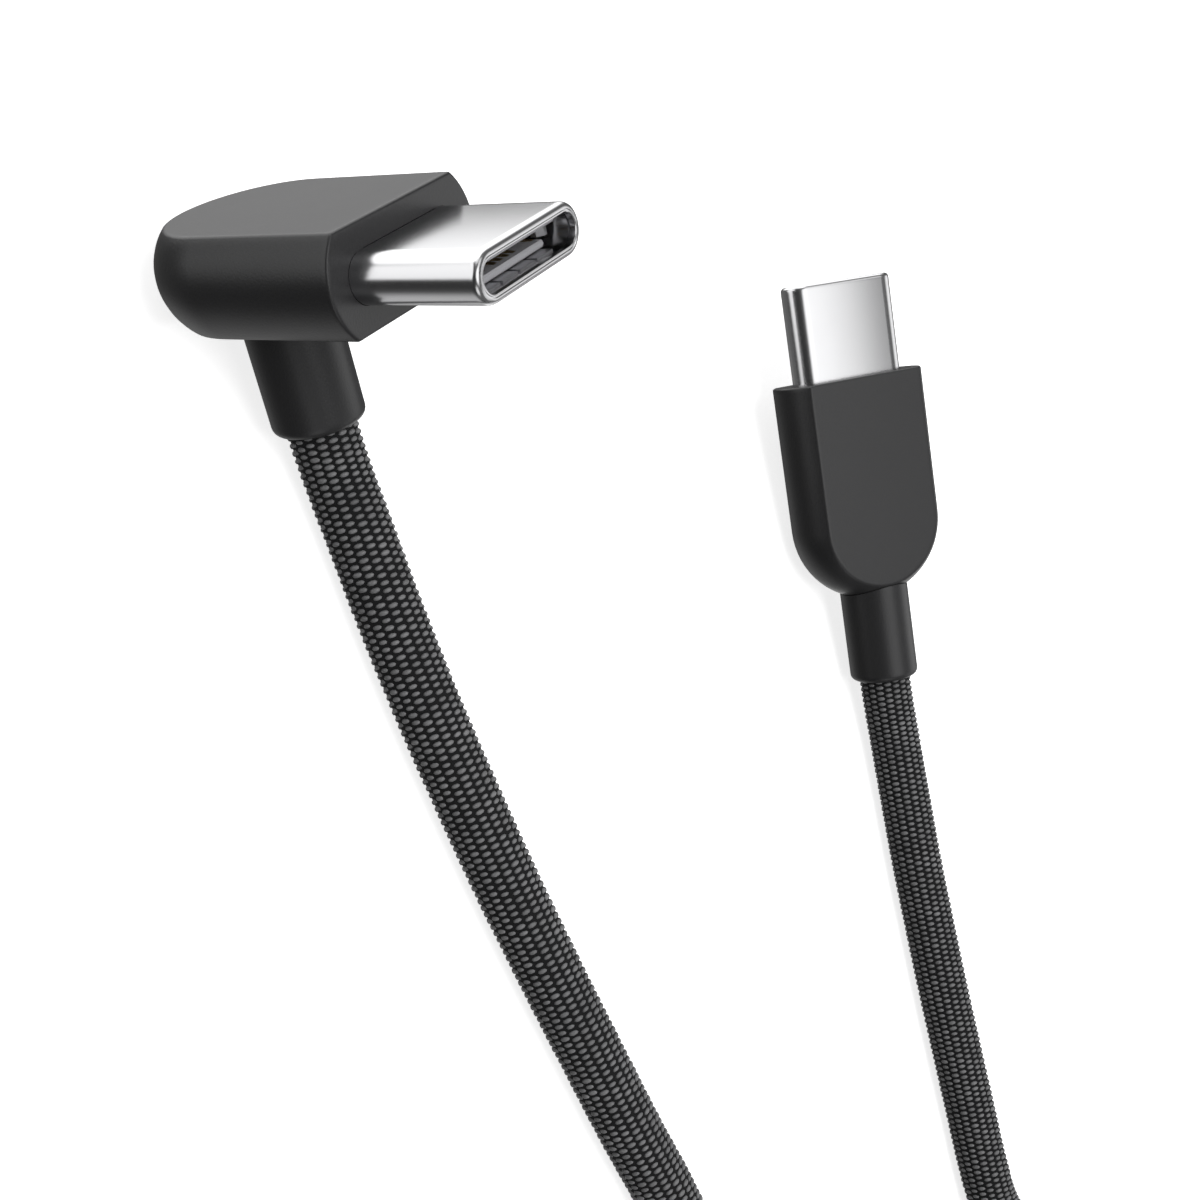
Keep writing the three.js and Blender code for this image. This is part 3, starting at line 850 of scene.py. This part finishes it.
def make_carrier(name, place):
    """The plastic that holds the contacts: a slot-shaped block with two lips, one a little shorter."""
    outline = []
    for centre, start in ((CARRIER_MIDDLE, -90), (-CARRIER_MIDDLE, 90)):
        for i in range(13):
            angle = math.radians(start + 15 * i)
            outline.append((centre + CARRIER_RADIUS * math.cos(angle), CARRIER_RADIUS * math.sin(angle)))
    rings = [[(x, y, z) for x, y in outline] for z in (CARRIER_BACK, CARRIER_FRONT)]
    points, faces = bridge(rings)
    faces += [list(range(26)), list(range(26, 52))]
    carrier = add_mesh(name, points, faces, CARRIER_GREY, place)
    for low, high, reach in CARRIER_LIPS:
        lip = soft_block((-CARRIER_LIP_HALF, CARRIER_LIP_HALF), (low, high), (CARRIER_LIP_ROOT, reach))
        combine(carrier, add_mesh("lip", *lip, CARRIER_GREY, place), "UNION")
    return carrier


def make_plug(plug, place, length, sleeve_length):
    """One plug's skins: the housing, its strain relief, the shell and the carrier."""
    housing = add_mesh(f"{plug}_housing_skin", *housing_points(length), BLACK_PLASTIC, place)
    if plug == "angled":
        drill = rod_mesh(WIRE_HOLE_RADIUS, 0.5, 5, "y", (0, 0, -length))
        exit_place = Matrix(((1, 0, 0), (0, 0, 1), (0, -1, 0))).to_4x4()
        exit_place = Matrix.Translation((0, THICKNESS / 2, -length)) @ exit_place
    else:
        drill = rod_mesh(WIRE_HOLE_RADIUS, -8, -3, "z", (0, 0, -length))
        end = -(length + FLAT_HALF + BULGE)
        exit_place = Matrix(((1, 0, 0), (0, -1, 0), (0, 0, -1))).to_4x4()
        exit_place = Matrix.Translation((0, 0, end)) @ exit_place
    combine(housing, add_mesh("drill", *drill, BLACK_PLASTIC, place), "DIFFERENCE")
    keep(housing, "housing_plastic", f"{plug}_housing")
    seat = housing_points(length, SEAT_GAP, hollow=False)
    sleeve = make_sleeve(f"{plug}_relief_sleeve", sleeve_length, place, exit_place, seat)
    keep(sleeve, "housing_plastic", f"{plug}_strain_relief")
    keep(make_shell(f"{plug}_rolled_shell", place), "shell_steel", f"{plug}_shell")
    keep(make_carrier(f"{plug}_carrier_lips", place), "carrier_plastic", f"{plug}_contact_carrier")


# ---- Floor and light ----
# Soft panels that the steel reflects: bearing and height, full and last reach in degrees, strength.
SOFT_PANELS = (
    (-172, -4, 36, 52, 1.5),
    (-30, 72, 14, 28, 1.35),
    (-100, -12, 22, 30, 1.2),
    (30, -60, 5, 40, 0.42),
    (93, 25, 10, 25, 1.0),
    (58, 30, 6, 18, 0.7),
    (172, 74, 8, 18, 0.8),
    (70, -25, 14, 28, 0.9),
    (-150, 38, 12, 28, 0.9),
    (-15, 15, 8, 22, 0.9),
    (-62, -5, 32, 60, -0.1),
)
DIM_ROOM = 0.14
SOFT_FILL = 0.32
BACKDROP = 0.95
TABLE_HALF = 4.0  # metres
TABLE_GLOW = 0.75
TABLE_DROP = 0.00003  # metres, so that the table doesn't share the cable's lowest plane
LIGHT_AIM = (0.01, 0.0, 0.005)  # metres


def set_stage():
    """A pale table with a little light of its own, left out of reflections."""
    material, shader = finish("pale_table", (0.86, 0.86, 0.86), 0.7)
    shader.inputs["Emission Color"].default_value = (1, 1, 1, 1)
    shader.inputs["Emission Strength"].default_value = TABLE_GLOW
    shader.inputs["Specular IOR Level"].default_value = 0.15
    mesh = bpy.data.meshes.new("table")
    turns = ((-1, -1), (1, -1), (1, 1), (-1, 1))
    mesh.from_pydata([(x * TABLE_HALF, y * TABLE_HALF, 0) for x, y in turns], [], [(0, 1, 2, 3)])
    mesh.materials.append(material)
    table = bpy.data.objects.new("table", mesh)
    table.location.z = -TABLE_DROP
    table.visible_glossy = False
    table.visible_diffuse = False
    bpy.context.scene.collection.objects.link(table)


def soft_box(name, at, size, power):
    """A square light aimed at the plugs, unseen in the steel. Its place and size are in metres."""
    light = bpy.data.lights.new(name, "AREA")
    light.shape = "RECTANGLE"
    light.size = light.size_y = size
    light.energy = power
    lamp = bpy.data.objects.new(name, light)
    lamp.location = at
    lamp.rotation_euler = (Vector(LIGHT_AIM) - Vector(at)).to_track_quat("-Z", "Y").to_euler()
    lamp.visible_glossy = False
    bpy.context.scene.collection.objects.link(lamp)


def set_light():
    """A dim room with soft panels for reflections, even fill for the rest, and two soft lights."""
    world = bpy.data.worlds.new("studio")
    world.use_nodes = True
    nodes, links = world.node_tree.nodes, world.node_tree.links
    direction = nodes.new("ShaderNodeTexCoord").outputs["Generated"]
    panels = None
    for bearing, height, inner, outer, strength in SOFT_PANELS:
        turn, rise = math.radians(bearing), math.radians(height)
        aim = Vector((math.cos(turn), math.sin(turn), 0)) * math.cos(rise)
        aim.z = math.sin(rise)
        towards = nodes.new("ShaderNodeVectorMath")
        towards.operation = "DOT_PRODUCT"
        links.new(direction, towards.inputs[0])
        towards.inputs[1].default_value = aim
        glow = nodes.new("ShaderNodeMapRange")
        glow.interpolation_type = "SMOOTHSTEP"
        glow.inputs["From Min"].default_value = math.cos(math.radians(outer))
        glow.inputs["From Max"].default_value = math.cos(math.radians(inner))
        glow.inputs["To Max"].default_value = strength
        links.new(towards.outputs["Value"], glow.inputs["Value"])
        added = nodes.new("ShaderNodeMath")
        added.operation = "ADD"
        links.new(glow.outputs["Result"], added.inputs[0])
        added.inputs[1].default_value = DIM_ROOM
        if panels:
            links.new(panels, added.inputs[1])
        panels = added.outputs[0]
    seen = nodes.new("ShaderNodeLightPath")
    reflected = nodes.new("ShaderNodeMix")
    links.new(seen.outputs["Is Glossy Ray"], reflected.inputs["Factor"])
    reflected.inputs["A"].default_value = SOFT_FILL
    links.new(panels, reflected.inputs["B"])
    shown = nodes.new("ShaderNodeMix")
    links.new(seen.outputs["Is Camera Ray"], shown.inputs["Factor"])
    links.new(reflected.outputs["Result"], shown.inputs["A"])
    shown.inputs["B"].default_value = BACKDROP
    links.new(shown.outputs["Result"], nodes["Background"].inputs["Color"])
    bpy.context.scene.world = world
    soft_box("side_light", (-0.5, -0.1, 0.3), 0.3, 0.35)
    soft_box("top_light", (0.03, 0.0, 0.6), 0.5, 3.2)
    bpy.context.scene.view_settings.view_transform = "Standard"


# ---- The cable ----
set_camera()
set_stage()
set_light()

free_start = [Vector(p) for p in ANGLED_ROUTE]
free_end = [Vector(p) for p in reversed(STRAIGHT_ROUTE)]
coil = coil_turns()
cord_path = smooth_path([*free_start, *coil, *free_end], 1.0)
bare_start = path_length(smooth_path([*free_start, coil[0]], 1.0))
bare_end = path_length(smooth_path([coil[-1], *free_end], 1.0))
total = path_length(cord_path)
cord = make_cord(cord_path, (bare_start, bare_end))
yarn_tree = braid_tree()
by_angled = stretch(cord_path, BRAID_START, bare_start)
by_straight = stretch(cord_path, total - bare_end, total - BRAID_START)
angled_braid = make_braid("braid_by_angled_plug", by_angled, yarn_tree)
straight_braid = make_braid("braid_by_straight_plug", by_straight, yarn_tree)
strap, tab = make_tie()
keep(cord, "braid", "cord_from_angled_plug", "cord_from_straight_plug", "cord_coil")
keep(angled_braid, "braid")
keep(straight_braid, "braid")
keep(strap, "tie_fabric", "coil_tie")
keep(tab, "tie_fabric")

make_plug("angled", plug_place(ANGLED_PLACE, ANGLED_AXES), ANGLED_LENGTH, ANGLED_SLEEVE)
make_plug("straight", plug_place(STRAIGHT_PLACE, STRAIGHT_AXES), STRAIGHT_LENGTH, STRAIGHT_SLEEVE)

NODE_FINISHES = {
    "upper_contacts": CONTACT_GOLD_IN_PAINTED_SHADE,
    "lower_contacts": CONTACT_GOLD_IN_PAINTED_SHADE,
    "latch_a": SPRING_STEEL,
    "latch_b": SPRING_STEEL,
    "upper_ground_spring": SPRING_STEEL,
    "lower_ground_spring": SPRING_STEEL,
    "paddle_board": BOARD_GREEN,
    "shield_can": CAN_STEEL,
    "inner_mould": MOULD_NATURAL,
    "crimp_ferrule": CAN_STEEL,
    "cord_core": CORE_GREY,
    **{f"wire_{color}": material for color, material in WIRE_FINISHES.items()},
}
for plug in ("angled", "straight"):
    for ending, material in NODE_FINISHES.items():
        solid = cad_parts[f"{plug}_{ending}"]
        solid.data.materials.clear()
        solid.data.materials.append(material)
